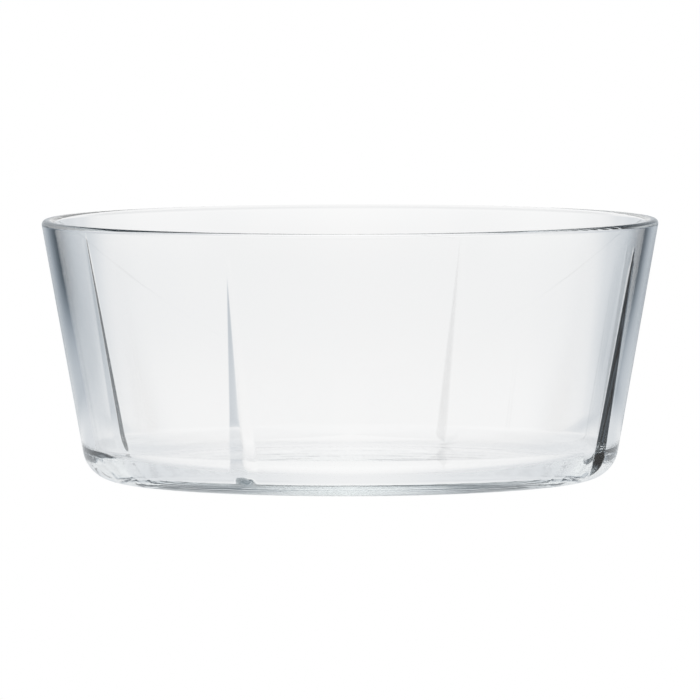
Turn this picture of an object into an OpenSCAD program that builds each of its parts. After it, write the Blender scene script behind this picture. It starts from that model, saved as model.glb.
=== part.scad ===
// Serving bowl of thick clear pressed glass.
// A straight-sided, slightly flared bowl with a flat floor, a round heel, a rim
// rounded on both sides, and four tapered V grooves pressed into the outside, a
// quarter turn apart. A groove has two flat flanks. It starts narrow below the rim,
// widens and deepens on its way down and runs out on the heel.
// Millimetres. +Z is up, the bowl stands on Z = 0 and the Z axis is its centre.
// -Y is the front, +X is the right-hand side seen from the front.

/* [Bowl] */
// Overall diameter, measured at the rim
rim_d = 240; // [200:1:260]
// Overall height
height = 101.2; // [85:0.2:115]
// Outward lean of the outside of the wall, in degrees from upright
wall_lean = 10.1; // [7:0.1:13]
// How much more the inside of the wall leans than the outside, in degrees
lean_extra = 0.2; // [0:0.1:1.5]
// Wall thickness at the rim, measured level
rim_t = 4.5; // [4.2:0.1:6.5]
// Glass thickness under the floor
floor_t = 6.3; // [5.5:0.1:10]

/* [Edges] */
// Radius of the heel, where the wall turns under into the base
heel_r = 13; // [10:0.5:15]
// Radius of the inside corner between floor and wall
corner_r = 10; // [8:0.5:14]
// Radius of the outer edge of the rim
rim_outer_r = 1.8; // [0.8:0.1:2]
// Radius of the inner edge of the rim
rim_inner_r = 2; // [1:0.1:2.1]

/* [Base] */
// Width of the flat ring that the bowl stands on
foot_w = 9; // [6:0.5:14]
// Depth of the shallow dish in the underside, inside that ring
recess_h = 0.8; // [0.4:0.1:1.6]
// Diameter of the dish's flat middle
recess_flat_d = 24.5; // [16:0.5:60]

/* [Grooves] */
// Number of grooves, evenly spaced
groove_n = 4; // [2:1:8]
// Turn of the first groove from the front, in degrees, negative to the left
groove_turn = -23; // [-45:0.1:45]
// How far below the rim a groove starts
groove_drop = 10.2; // [6:0.2:30]
// How far above that start its two edges would meet, along the wall
groove_rise = 12; // [4:1:16]
// Growth of half the groove's width for each millimetre down the wall
groove_spread = 0.0645; // [0.05:0.0005:0.07]
// Lean of the two flat flanks against the wall, in degrees
groove_tilt = 22; // [16:1:24]

/* [Hidden] */
$fn = 128;

// The inside of the wall
inside_lean = wall_lean + lean_extra;

// The wall's corner before the rim's outer edge is rounded
corner_x = rim_d / 2 + rim_outer_r * ((1 + sin(wall_lean)) / cos(wall_lean) - 1);
mouth_x = corner_x - rim_t;

// Radius of the outside of the wall at height z
function out_x(z) = corner_x - (height - z) * tan(wall_lean);

// Centre of the heel's circle, and the height at which it meets the wall
heel_z = heel_r * (1 - sin(wall_lean));
heel_x = out_x(heel_z) - heel_r * cos(wall_lean);

// Centre of the rim's outer edge
ro_x = corner_x - rim_outer_r * (1 + sin(wall_lean)) / cos(wall_lean);
ro_z = height - rim_outer_r;

// Centre of the rim's inner edge
ri_x = mouth_x + rim_inner_r * (1 - sin(inside_lean)) / cos(inside_lean);
ri_z = height - rim_inner_r;

// Centre of the inside corner
ci_z = floor_t + corner_r;
ci_x = mouth_x + ((ci_z - height) * sin(inside_lean) - corner_r) / cos(inside_lean);

// Inner edge of the foot ring, and how far the dish's slope runs for each millimetre of height
foot_in = heel_x - foot_w;
recess_run = (foot_in - recess_flat_d / 2) / recess_h;

// The groove's bottom line dives into the wall by this angle, from a point on the wall above the groove's start
groove_top = height - groove_drop;
dive = atan(groove_spread * tan(groove_tilt));
tip_z = groove_top + groove_rise * cos(wall_lean);
tip_r = out_x(tip_z);

// Outside of the bowl as a half section, filled to the axis
module outside_section() {
    union() {
        polygon([
            [0, 0],
            [heel_x, 0],
            [heel_x, heel_r],
            [out_x(heel_z), heel_z],
            [ro_x + rim_outer_r * cos(wall_lean), ro_z - rim_outer_r * sin(wall_lean)],
            [ro_x, ro_z],
            [ro_x, height],
            [0, height]
        ]);
        translate([heel_x, heel_r]) circle(r = heel_r);
        translate([ro_x, ro_z]) circle(r = rim_outer_r);
    }
}

// Space inside the bowl as a half section, open above the rim
module inside_section() {
    difference() {
        union() {
            polygon([
                [0, floor_t],
                [ci_x, floor_t],
                [ci_x, ci_z],
                [ci_x + corner_r * cos(inside_lean), ci_z - corner_r * sin(inside_lean)],
                [ri_x - rim_inner_r * cos(inside_lean), ri_z + rim_inner_r * sin(inside_lean)],
                [ri_x, ri_z],
                [ri_x, height],
                [ri_x, height + 5],
                [0, height + 5]
            ]);
            translate([ci_x, ci_z]) circle(r = corner_r);
        }
        translate([ri_x, ri_z]) circle(r = rim_inner_r);
    }
}

// Shallow dish under the base as a half section
module recess_section() {
    polygon([
        [0, -1],
        [foot_in + recess_run, -1],
        [recess_flat_d / 2, recess_h],
        [0, recess_h]
    ]);
}

// Half of the space outside a groove's flank, seen from the bottom line: x is square to the line, z runs up along it
module flank_side(tilt) {
    rotate([0, 0, tilt])
        translate([0, -40, -120])
            cube([30, 80, 130]);
}

// A groove as a wedge between two flat flanks, ending level below the rim
module groove(turn) {
    intersection() {
        rotate([0, 0, turn - 90])
            translate([tip_r, 0, tip_z])
                rotate([0, wall_lean + dive, 0])
                    intersection() {
                        flank_side(-groove_tilt);
                        flank_side(groove_tilt);
                    }
        translate([-200, -200, -20])
            cube([400, 400, groove_top + 20]);
    }
}

module bowl() {
    color([0.84, 0.92, 0.94, 0.5])
        difference() {
            rotate_extrude(angle = 360)
                difference() {
                    outside_section();
                    inside_section();
                    recess_section();
                }
            for (i = [0 : groove_n - 1])
                groove(groove_turn + i * 360 / groove_n);
        }
}

bowl();
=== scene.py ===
"""Serving bowl of clear pressed glass: the visual model, its floor, its soft studio light and its camera.

The bowl is turned as one closed skin from its half section, with four tapered grooves pressed into the outside.
Lengths in the section are millimetres, and everything in the scene is in metres.
"""
import math

import bpy
import numpy as np
from mathutils import Matrix, Vector


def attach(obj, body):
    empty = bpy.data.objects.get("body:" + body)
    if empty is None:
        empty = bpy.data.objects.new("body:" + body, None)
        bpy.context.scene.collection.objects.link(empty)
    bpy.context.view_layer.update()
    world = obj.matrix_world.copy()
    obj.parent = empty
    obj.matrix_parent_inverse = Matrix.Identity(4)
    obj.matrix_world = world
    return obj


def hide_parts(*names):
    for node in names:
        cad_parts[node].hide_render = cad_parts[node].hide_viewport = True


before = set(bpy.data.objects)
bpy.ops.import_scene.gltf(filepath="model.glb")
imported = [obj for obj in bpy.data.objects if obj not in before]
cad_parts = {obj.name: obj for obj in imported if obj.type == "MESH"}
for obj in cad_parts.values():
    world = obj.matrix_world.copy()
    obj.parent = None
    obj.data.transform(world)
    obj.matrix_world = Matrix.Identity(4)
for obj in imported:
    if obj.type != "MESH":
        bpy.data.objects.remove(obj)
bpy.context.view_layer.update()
scene = bpy.context.scene

# ---------------------------------------------------------------- dimensions, the same as the CAD part's
RIM_D = 239.9        # rim diameter, a hair inside the CAD part's 240
HEIGHT = 101.2
WALL_LEAN = 10.1     # outside of the wall, degrees from upright
INSIDE_LEAN = 10.3   # inside of the wall
RIM_T = 4.5          # wall thickness at the rim
FLOOR_T = 6.3
HEEL_R = 13.0        # outside, wall to base
CORNER_R = 10.0      # inside, wall to floor
RIM_OUTER_R = 1.8
RIM_INNER_R = 2.0
FOOT_W = 9.0         # flat ring that the bowl stands on
RECESS_H = 0.8       # hollow of the underside
RECESS_SLOPE_W = 70.0
GROOVE_N = 4
GROOVE_TURN = -23.0  # first groove, degrees from the front, positive towards +X
GROOVE_TOP = 91.0    # height at which a groove starts
GROOVE_RISE = 12.0   # how far above that its edges would meet
GROOVE_SPREAD = 0.0645  # half its width for each millimetre down the wall
GROOVE_TILT = 22.0   # how far its two flat flanks lean, degrees
GROOVE_RIDGE = 0.8   # rounding of its bottom line
GROOVE_EDGE = 0.22   # rounding of its edges


# ---------------------------------------------------------------- the bowl's skin
# A section point is (x, z, nx, nz), with the direction that the skin faces there.
def arc(cx, cz, r, a0, a1, n, out=1):
    """n points of an arc after its first, angles in degrees. The skin faces away from the middle, or with out = -1 to it."""
    steps = [math.radians(a0 + (a1 - a0) * i / n) for i in range(1, n + 1)]
    return [(cx + r * math.cos(t), cz + r * math.sin(t), out * math.cos(t), out * math.sin(t)) for t in steps]


def line(p, q, n):
    """n points of a straight stretch after its first. The skin faces to the right of the way."""
    dx, dz = q[0] - p[0], q[1] - p[1]
    run = math.hypot(dx, dz)
    return [(p[0] + dx * i / n, p[1] + dz * i / n, dz / run, -dx / run) for i in range(1, n + 1)]


LEAN, IN_LEAN = math.radians(WALL_LEAN), math.radians(INSIDE_LEAN)
# sharp corner that the rim's outer rounding is cut from
CORNER_X = RIM_D / 2 + RIM_OUTER_R * ((1 + math.sin(LEAN)) / math.cos(LEAN) - 1)
HEEL_Z = HEEL_R * (1 - math.sin(LEAN))
HEEL_X = CORNER_X - (HEIGHT - HEEL_Z) * math.tan(LEAN) - HEEL_R * math.cos(LEAN)


def half_section():
    """Points from the axis underneath, out round the outside, over the rim and back along the floor to the axis,
    with the first and last index of the stretch that the grooves reach."""
    a, b = LEAN, IN_LEAN
    in_x = CORNER_X - RIM_T
    rox, roz = CORNER_X - RIM_OUTER_R * (1 + math.sin(a)) / math.cos(a), HEIGHT - RIM_OUTER_R
    rix, riz = in_x + RIM_INNER_R * (1 - math.sin(b)) / math.cos(b), HEIGHT - RIM_INNER_R
    ciz = FLOOR_T + CORNER_R
    cix = in_x + ((ciz - HEIGHT) * math.sin(b) - CORNER_R) / math.cos(b)
    pts = [(0.0, RECESS_H, 0.0, -1.0)]
    q = (HEEL_X - FOOT_W - RECESS_SLOPE_W, RECESS_H)
    pts += line(pts[-1], q, 12)
    for i in range(1, 13):
        t = i / 12
        fall = RECESS_H * 6 * t * (1 - t) / RECESS_SLOPE_W
        pts.append((q[0] + RECESS_SLOPE_W * t, RECESS_H * (1 - t * t * (3 - 2 * t)), -fall / math.hypot(fall, 1), -1 / math.hypot(fall, 1)))
    pts += line(pts[-1], (HEEL_X, 0.0), 4)
    first = len(pts) - 1
    pts += arc(HEEL_X, HEEL_R, HEEL_R, -90, -WALL_LEAN, 28)
    pts += line(pts[-1], (rox + RIM_OUTER_R * math.cos(a), roz - RIM_OUTER_R * math.sin(a)), 60)
    last = len(pts) - 1
    pts += arc(rox, roz, RIM_OUTER_R, -WALL_LEAN, 90, 8)
    pts += line(pts[-1], (rix, HEIGHT), 3)
    pts += arc(rix, riz, RIM_INNER_R, 90, 180 - INSIDE_LEAN, 12)
    pts += line(pts[-1], (cix + CORNER_R * math.cos(b), ciz - CORNER_R * math.sin(b)), 24)
    pts += arc(cix, ciz, CORNER_R, -INSIDE_LEAN, -90, 18, -1)
    pts += line(pts[-1], (0.0, FLOOR_T), 14)
    return pts, first, last


def soft_max(a, b, k):
    """The larger of two lengths, rounded over about k."""
    h = np.clip(0.5 + 0.5 * (a - b) / k, 0, 1)
    return b + (a - b) * h + k * h * (1 - h)


def groove_half_width(z):
    return GROOVE_SPREAD * ((GROOVE_TOP - z) / math.cos(LEAN) + GROOVE_RISE)


ZONE = 5.0   # degrees to either side of a groove's middle with finer meridians
ACROSS = (0, 0.05, 0.11, 0.22, 0.36, 0.52, 0.68, 0.8, 0.88, 0.94, 0.98, 1.02, 1.07, 1.16)  # parts of half a groove's width


def meridians(x, z):
    """Azimuth of each point of the lathe in degrees from the front, one row per section point. Some meridians keep to
    the grooves' edges and bottom lines."""
    half = np.clip(groove_half_width(z), 1.3, 6.3)
    inner = np.degrees(half[:, None] / np.maximum(x, 96)[:, None] * np.array(ACROSS)[None, :])
    edge = inner[:, -1:]
    outer = edge + (ZONE - edge) * np.array([0.16, 0.34, 0.55, 0.78])[None, :]
    right = np.concatenate([inner, outer], axis=1)
    zone = np.concatenate([-right[:, :0:-1], right], axis=1)
    gap = 360 / GROOVE_N - 2 * ZONE
    coarse = ZONE + gap * np.arange(round(gap / 1.2) + 1) / round(gap / 1.2)
    block = np.concatenate([zone, np.repeat(coarse[None, :], len(x), axis=0)], axis=1)
    turns = [GROOVE_TURN + i * 360 / GROOVE_N for i in range(GROOVE_N)]
    return np.concatenate([t + block for t in turns], axis=1), turns


def bowl_skin():
    pts, first, last = half_section()
    x, z, fx, fz = np.array(pts).T
    az, turns = meridians(x, z)
    rho = np.repeat(x[:, None], az.shape[1], axis=1)
    zz = np.repeat(z[:, None], az.shape[1], axis=1)
    cut = np.zeros(az.shape, bool)
    # A groove is a V with two flat flanks. Its bottom line runs straight, a little steeper than the wall, and comes out
    # again where the heel curves away. Depth is taken along the surface's own normal.
    sl = slice(first, last + 1)
    xs, zs = x[sl][:, None], z[sl][:, None]
    ang = np.arctan2(HEEL_R - zs, xs - HEEL_X)
    heel = zs < HEEL_Z + 1e-6
    nx = np.where(heel, np.cos(ang), math.cos(LEAN))
    nz = np.where(heel, -np.sin(ang), -math.sin(LEAN))
    tilt = math.radians(GROOVE_TILT)
    dive = math.atan(GROOVE_SPREAD * math.tan(tilt))
    tip_z = GROOVE_TOP + GROOVE_RISE * math.cos(LEAN)
    tip_r = CORNER_X - (HEIGHT - tip_z) * math.tan(LEAN)
    # direction square to the bottom line, out of the wall
    sr, sz = math.cos(LEAN + dive), -math.sin(LEAN + dive)
    for t in turns:
        d = (np.radians(az[sl] - t) + np.pi) % (2 * np.pi) - np.pi
        near = np.abs(d) < math.radians(12)
        lift = (xs * np.cos(d) - tip_r) * sr + (zs - tip_z) * sz
        flank = []
        for side in (-1, 1):
            dist = lift * math.cos(tilt) + side * xs * np.sin(d) * math.sin(tilt)
            rate = math.cos(tilt) * (sr * nx * np.cos(d) + sz * nz) + side * math.sin(tilt) * nx * np.sin(d)
            flank.append(dist / np.maximum(rate, 0.15))
        depth = -soft_max(-flank[0], -flank[1], GROOVE_RIDGE)
        start = np.clip((GROOVE_TOP + 1.2 - zs) / 3.5, 0, 1)
        depth = np.where(near, depth, -5.0)
        depth = np.maximum(soft_max(depth, np.zeros_like(depth), GROOVE_EDGE), 0) * start * start * (3 - 2 * start)
        depth = np.where(near, depth, 0.0)
        rho[sl] -= depth * nx
        zz[sl] -= depth * nz
        cut[sl] |= depth > 1e-5
    phi = np.radians(az - 90)
    skin = np.stack([rho * np.cos(phi), rho * np.sin(phi), zz], axis=-1) / 1000
    rows, cols = rho.shape
    co = np.concatenate([skin[0, :1], skin[1:-1].reshape(-1, 3), skin[-1, :1]])
    ring = lambda i: 1 + (i - 1) * cols
    faces = []
    for i in range(1, rows - 2):
        a, b = ring(i), ring(i + 1)
        faces += [(a + j, a + (j + 1) % cols, b + (j + 1) % cols, b + j) for j in range(cols)]
    top, end = ring(rows - 1), ring(rows - 2)
    for j in range(cols):
        k = (j + 1) % cols
        faces += [(0, 1 + k, 1 + j), (end + j, end + k, top)]
    mesh = bpy.data.meshes.new("bowl_glass")
    mesh.from_pydata(co.tolist(), [], faces)
    mesh.shade_smooth()
    # The turned skin's own directions, and the mesh's in and beside the grooves
    face = np.stack([fx[:, None] * np.cos(phi), fx[:, None] * np.sin(phi), np.repeat(fz[:, None], cols, axis=1)], axis=-1)
    face = np.concatenate([face[0, :1], face[1:-1].reshape(-1, 3), face[-1, :1]])
    beside = cut | np.roll(cut, 1, axis=1) | np.roll(cut, -1, axis=1)
    beside[1:] |= beside[:-1].copy()
    beside[:-1] |= beside[1:].copy()
    beside = np.concatenate([beside[0, :1], beside[1:-1].ravel(), beside[-1, :1]])
    own = np.zeros(3 * len(mesh.vertices), np.float32)
    mesh.vertex_normals.foreach_get("vector", own)
    face = np.where(beside[:, None], own.reshape(-1, 3), face)
    mesh.normals_split_custom_set_from_vertices(face.tolist())
    return mesh


def nodes_of(name):
    """A new node material's tree, empty, with its output."""
    mat = bpy.data.materials.new(name)
    mat.use_nodes = True
    mat.node_tree.nodes.clear()
    return mat, mat.node_tree, mat.node_tree.nodes.new("ShaderNodeOutputMaterial")


# ---------------------------------------------------------------- clear pressed glass
glass, nt, out = nodes_of("clear_glass")
bsdf = nt.nodes.new("ShaderNodeBsdfPrincipled")
bsdf.inputs["Base Color"].default_value = (1, 1, 1, 1)
bsdf.inputs["Transmission Weight"].default_value = 1
bsdf.inputs["IOR"].default_value = 1.5
place = nt.nodes.new("ShaderNodeTexCoord")
# fire-polished sheen: almost clear, with faint clouds of a slightly softer surface
cloud = nt.nodes.new("ShaderNodeTexNoise")
cloud.inputs["Scale"].default_value = 34
cloud.inputs["Detail"].default_value = 3
nt.links.new(place.outputs["Object"], cloud.inputs["Vector"])
sheen = nt.nodes.new("ShaderNodeMapRange")
sheen.inputs["From Min"].default_value = 0.35
sheen.inputs["From Max"].default_value = 0.75
sheen.inputs["To Min"].default_value = 0.0
sheen.inputs["To Max"].default_value = 0.02
nt.links.new(cloud.outputs["Fac"], sheen.inputs["Value"])
nt.links.new(sheen.outputs["Result"], bsdf.inputs["Roughness"])
# slow waves that pressing leaves, drawn out up the wall
stretch = nt.nodes.new("ShaderNodeMapping")
stretch.inputs["Scale"].default_value = (1, 1, 0.35)
nt.links.new(place.outputs["Object"], stretch.inputs["Vector"])
wave = nt.nodes.new("ShaderNodeTexNoise")
wave.inputs["Scale"].default_value = 26
wave.inputs["Detail"].default_value = 1
nt.links.new(stretch.outputs["Vector"], wave.inputs["Vector"])
bump = nt.nodes.new("ShaderNodeBump")
bump.inputs["Strength"].default_value = 0.5
bump.inputs["Distance"].default_value = 0.00003
# shorter marks that the mould leaves round the heel, fading out up the wall and in towards the middle
mark = nt.nodes.new("ShaderNodeTexNoise")
mark.inputs["Scale"].default_value = 150
mark.inputs["Detail"].default_value = 2
nt.links.new(place.outputs["Object"], mark.inputs["Vector"])
split = nt.nodes.new("ShaderNodeSeparateXYZ")
nt.links.new(place.outputs["Object"], split.inputs["Vector"])
low = nt.nodes.new("ShaderNodeMapRange")
low.inputs["From Min"].default_value = 0.018
low.inputs["From Max"].default_value = 0.009
nt.links.new(split.outputs["Z"], low.inputs["Value"])
flat = nt.nodes.new("ShaderNodeVectorMath")
flat.operation = "MULTIPLY"
flat.inputs[1].default_value = (1, 1, 0)
nt.links.new(place.outputs["Object"], flat.inputs[0])
reach = nt.nodes.new("ShaderNodeVectorMath")
reach.operation = "LENGTH"
nt.links.new(flat.outputs["Vector"], reach.inputs[0])
edge = nt.nodes.new("ShaderNodeMapRange")
edge.inputs["From Min"].default_value = 0.08
edge.inputs["From Max"].default_value = 0.094
nt.links.new(reach.outputs["Value"], edge.inputs["Value"])
where = nt.nodes.new("ShaderNodeMath")
where.operation = "MULTIPLY"
nt.links.new(low.outputs["Result"], where.inputs[0])
nt.links.new(edge.outputs["Result"], where.inputs[1])
amount = nt.nodes.new("ShaderNodeMath")
amount.operation = "MULTIPLY"
nt.links.new(where.outputs["Value"], amount.inputs[0])
amount.inputs[1].default_value = 2.0
height = nt.nodes.new("ShaderNodeMath")
height.operation = "MULTIPLY_ADD"
nt.links.new(mark.outputs["Fac"], height.inputs[0])
nt.links.new(amount.outputs["Value"], height.inputs[1])
nt.links.new(wave.outputs["Fac"], height.inputs[2])
nt.links.new(height.outputs["Value"], bump.inputs["Height"])
nt.links.new(bump.outputs["Normal"], bsdf.inputs["Normal"])
tint = nt.nodes.new("ShaderNodeVolumeAbsorption")
tint.inputs["Color"].default_value = (0.4, 0.65, 0.7, 1)
tint.inputs["Density"].default_value = 0.8
nt.links.new(bsdf.outputs["BSDF"], out.inputs["Surface"])
nt.links.new(tint.outputs["Volume"], out.inputs["Volume"])

bowl = bpy.data.objects.new("bowl_glass", bowl_skin())
bowl.data.materials.append(glass)
scene.collection.objects.link(bowl)
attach(bowl, "root")
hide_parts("bowl")


# ---------------------------------------------------------------- soft studio light: a white tent with grey and dark cards
TENT_R = 0.3


def ramp(stops, v):
    """Value at v on a row of (place, value) stops, eased between them."""
    p = np.array([s[0] for s in stops], float)
    w = np.array([s[1] for s in stops], float)
    i = np.clip(np.searchsorted(p, v, side="right") - 1, 0, len(p) - 2)
    t = np.clip((v - p[i]) / (p[i + 1] - p[i]), 0, 1)
    t = t * t * (3 - 2 * t)
    return w[i] + (w[i + 1] - w[i]) * t


# round the tent, degrees from straight behind the bowl, positive towards +X: at the floor, low, half way up and overhead
FOOT = [(-180, 0.9), (-100, 0.82), (-84, 0.72), (-66, 0.5), (-44, 0.56), (-30, 0.66), (-23, 0.91),
        (23, 0.92), (29, 0.6), (36, 0.62), (43, 0.6), (60, 0.3), (70, 0.4), (86, 0.76), (100, 0.82), (180, 0.9)]
LOW = [(-180, 0.86), (-100, 0.84), (-80, 0.78), (-70, 0.5), (-63, 0.15), (-58, 0.06), (-50, 0.12), (-41, 0.4), (-29, 0.56), (-23, 0.885),
       (23, 0.895), (29, 0.6), (35, 0.4), (43, 0.56), (50, 0.16), (56, 0.02), (62, 0.1), (70, 0.5), (80, 0.78), (100, 0.84), (180, 0.86)]
HALF = [(-180, 0.9), (-90, 0.82), (-64, 0.7), (-48, 0.5), (-28, 0.68), (-22, 1.0), (22, 1.0), (28, 0.66), (50, 0.54), (70, 0.74), (100, 0.84), (180, 0.9)]
HIGH = [(-180, 0.9), (-140, 0.7), (-110, 0.28), (-60, 0.22), (-26, 0.12), (-13, 1.0), (13, 1.0), (26, 0.12), (60, 0.22), (110, 0.28), (140, 0.7), (180, 0.9)]
FOOT_LOW = [(0, 0.0), (9, 1.0)]   # elevations over which one gives way to the next
LOW_HALF = [(12, 0.0), (22, 1.0)]
HALF_HIGH = [(32, 0.0), (46, 1.0)]
FLOOR = [(-180, 0.95), (-110, 0.93), (-84, 0.76), (-56, 0.73), (-44, 0.82), (-34, 0.89), (-22, 0.93), (22, 0.94), (34, 0.89), (44, 0.82), (56, 0.73), (84, 0.76), (110, 0.93), (180, 0.95)]
UNDER = [(0, 0.98), (0.06, 0.96), (0.08, 0.94), (0.09, 0.87), (0.104, 0.87), (0.13, 0.93)]   # the shade that the bowl's foot casts
BESIDE = [(-180, 1.0), (-150, 0.92), (-125, 0.87), (-60, 0.87), (-25, 1.0), (25, 1.0), (60, 0.87), (125, 0.87), (150, 0.92), (180, 1.0)]   # the same, darker at the sides
DEEP = 15.5   # reflections after which light in the wall counts as having run round it
DEEP_AZ = [(-180, 0.0), (-170, 0.0), (-155, 0.9), (-14, 0.9), (-6, 0.0), (6, 0.0), (14, 0.9), (155, 0.9), (170, 0.0), (180, 0.0)]
DEEP_EL = [(45, 1.0), (56, 0.0)]
DEEP_FLOOR = [(-180, 0.0), (3, 0.0), (8, 0.75), (18, 0.75), (26, 0.0), (180, 0.0)]


def cool(v):
    """Grey of brightness v, bluer as it gets darker."""
    v = np.clip(v, 0, None)
    blue = v * (1 + 0.04 * np.clip(1 - v, 0, 1))
    red = blue * np.clip(0.63 + 0.41 * v, 0, 1)
    return np.stack([red, (red + blue) / 2, blue, np.ones_like(v)], axis=-1)


def shade_mesh(name, co, faces):
    mesh = bpy.data.meshes.new(name)
    mesh.from_pydata(co.tolist(), [], faces)
    mesh.shade_smooth()
    ob = bpy.data.objects.new(name, mesh)
    scene.collection.objects.link(ob)
    return ob


def lattice(rows, cols):
    return [(i * cols + j, i * cols + (j + 1) % cols, (i + 1) * cols + (j + 1) % cols, (i + 1) * cols + j) for i in range(rows - 1) for j in range(cols)]


def glow(name, *switches):
    """Emission from the mesh's own light values. A switch (other values, light path output, threshold) shows the other
    values where that output is above the threshold."""
    mat, tree, end = nodes_of(name)
    path = tree.nodes.new("ShaderNodeLightPath")

    def shine(values):
        att = tree.nodes.new("ShaderNodeAttribute")
        att.attribute_name = values
        em = tree.nodes.new("ShaderNodeEmission")
        tree.links.new(att.outputs["Color"], em.inputs["Color"])
        return em.outputs["Emission"]

    shown = shine("light")
    for other, when, value in switches:
        test = tree.nodes.new("ShaderNodeMath")
        test.operation = "GREATER_THAN"
        test.inputs[1].default_value = value
        tree.links.new(path.outputs[when], test.inputs[0])
        mix = tree.nodes.new("ShaderNodeMixShader")
        tree.links.new(test.outputs["Value"], mix.inputs["Fac"])
        tree.links.new(shown, mix.inputs[1])
        tree.links.new(shine(other), mix.inputs[2])
        shown = mix.outputs["Shader"]
    tree.links.new(shown, end.inputs["Surface"])
    mat.cycles.emission_sampling = "NONE"
    return mat


def tent_light(az, el):
    v = ramp(FOOT, az)
    for rise, stops in ((FOOT_LOW, LOW), (LOW_HALF, HALF), (HALF_HIGH, HIGH)):
        t = ramp(rise, el)
        v = v * (1 - t) + ramp(stops, az) * t
    return v


def floor_light(az, r):
    far = ramp([(0.11, 0.0), (0.15, 1.0)], r)
    edge = ramp([(0.19, 0.0), (0.29, 1.0)], r)
    near = ramp(UNDER, r) * (1 - (1 - ramp(BESIDE, az)) * ramp([(0.07, 0.0), (0.09, 1.0)], r))
    return near * (1 - far) + (ramp(FLOOR, az) * (1 - edge) + ramp(FOOT, az) * edge) * far


def tent_deep(az, el):
    """The tent as light sees it that has run round inside the wall: darker to both sides."""
    return tent_light(az, el) * (1 - ramp(DEEP_AZ, az) * ramp(DEEP_EL, el))


def paint(mesh, name, value):
    if name not in mesh.attributes:
        mesh.attributes.new(name, "FLOAT_COLOR", "POINT")
    mesh.attributes[name].data.foreach_set("color", cool(value).astype(np.float32).ravel())
    mesh.update()


TENT_A, TENT_E = np.meshgrid(np.arange(-180, 180, 1.0), np.concatenate([np.arange(-4, 40, 1.0), np.arange(40, 90.1, 2.5)]))
ra, re = np.radians(TENT_A), np.radians(TENT_E)
co = TENT_R * np.stack([np.cos(re) * np.sin(ra), np.cos(re) * np.cos(ra), np.sin(re)], axis=-1)
tent = shade_mesh("tent", co.reshape(-1, 3), lattice(*TENT_A.shape))
paint(tent.data, "light", tent_light(TENT_A, TENT_E))
paint(tent.data, "deep", tent_deep(TENT_A, TENT_E))
tent.data.materials.append(glow("tent_light", ("deep", "Ray Depth", DEEP)))
tent.visible_camera = False

# floor: glowing white, with painted shade under the bowl's foot and painted shade of the dark cards' feet at its sides
FLOOR_A, FLOOR_R = np.meshgrid(np.arange(-180, 180, 2.0), np.concatenate([[0.0005], np.arange(0.02, 0.08, 0.01), np.arange(0.08, 0.13, 0.0025), np.arange(0.13, 0.32, 0.01), [0.4, 1, 4, 12]]))
ra = np.radians(FLOOR_A)
co = np.stack([FLOOR_R * np.sin(ra), FLOOR_R * np.cos(ra), np.full_like(FLOOR_R, -0.0004)], axis=-1)
floor = shade_mesh("floor", co.reshape(-1, 3), lattice(*FLOOR_A.shape))
paint(floor.data, "light", floor_light(FLOOR_A, FLOOR_R))
paint(floor.data, "deep", floor_light(FLOOR_A, FLOOR_R) * (1 - ramp(DEEP_FLOOR, FLOOR_A)))
paint(floor.data, "seen", np.ones_like(FLOOR_R))
floor.data.materials.append(glow("floor_white", ("deep", "Ray Depth", DEEP), ("seen", "Is Camera Ray", 0.5)))

world = bpy.data.worlds.new("studio")
world.use_nodes = True
world.node_tree.nodes["Background"].inputs["Color"].default_value = (1, 1, 1, 1)
world.node_tree.nodes["Background"].inputs["Strength"].default_value = 1
scene.world = world

# ---------------------------------------------------------------- camera: a long lens, a little above the rim
R_M = CORNER_X / 1000
CENTRE = Vector((0, 0, HEIGHT / 2000))
DIST, TILT, ROLL = 31.5 * R_M, math.radians(3.573), math.radians(0.129)
PX = 308.87 / R_M   # pixels to the metre at the bowl's middle, in a 700 pixel frame
fwd = Vector((0, math.cos(TILT), -math.sin(TILT)))
upv = Vector((0, math.sin(TILT), math.cos(TILT)))
eye = CENTRE - DIST * fwd
aim = CENTRE - Vector((1, 0, 0)) * (0.31 / PX) - upv * (1.54 / PX)
zax = (eye - aim).normalized()
xax = Vector((0, 0, 1)).cross(zax).normalized()
turn = Matrix((xax, zax.cross(xax), zax)).transposed() @ Matrix.Rotation(-ROLL, 3, "Z")
lens = bpy.data.cameras.new("camera")
lens.sensor_width = 36
lens.lens = DIST * PX * 36 / 700
lens.clip_end = 100
camera = bpy.data.objects.new("camera", lens)
camera.matrix_world = Matrix.Translation(eye) @ turn.to_4x4()
scene.collection.objects.link(camera)
scene.camera = camera

# ---------------------------------------------------------------- how light is followed through the glass
scene.view_settings.view_transform = "Standard"
scene.view_settings.look = "None"
scene.cycles.max_bounces = 40
scene.cycles.transmission_bounces = 40
scene.cycles.glossy_bounces = 40
scene.cycles.caustics_refractive = True
scene.cycles.caustics_reflective = True
scene.cycles.blur_glossy = 0
scene.cycles.sample_clamp_indirect = 0
scene.cycles.use_denoising = True
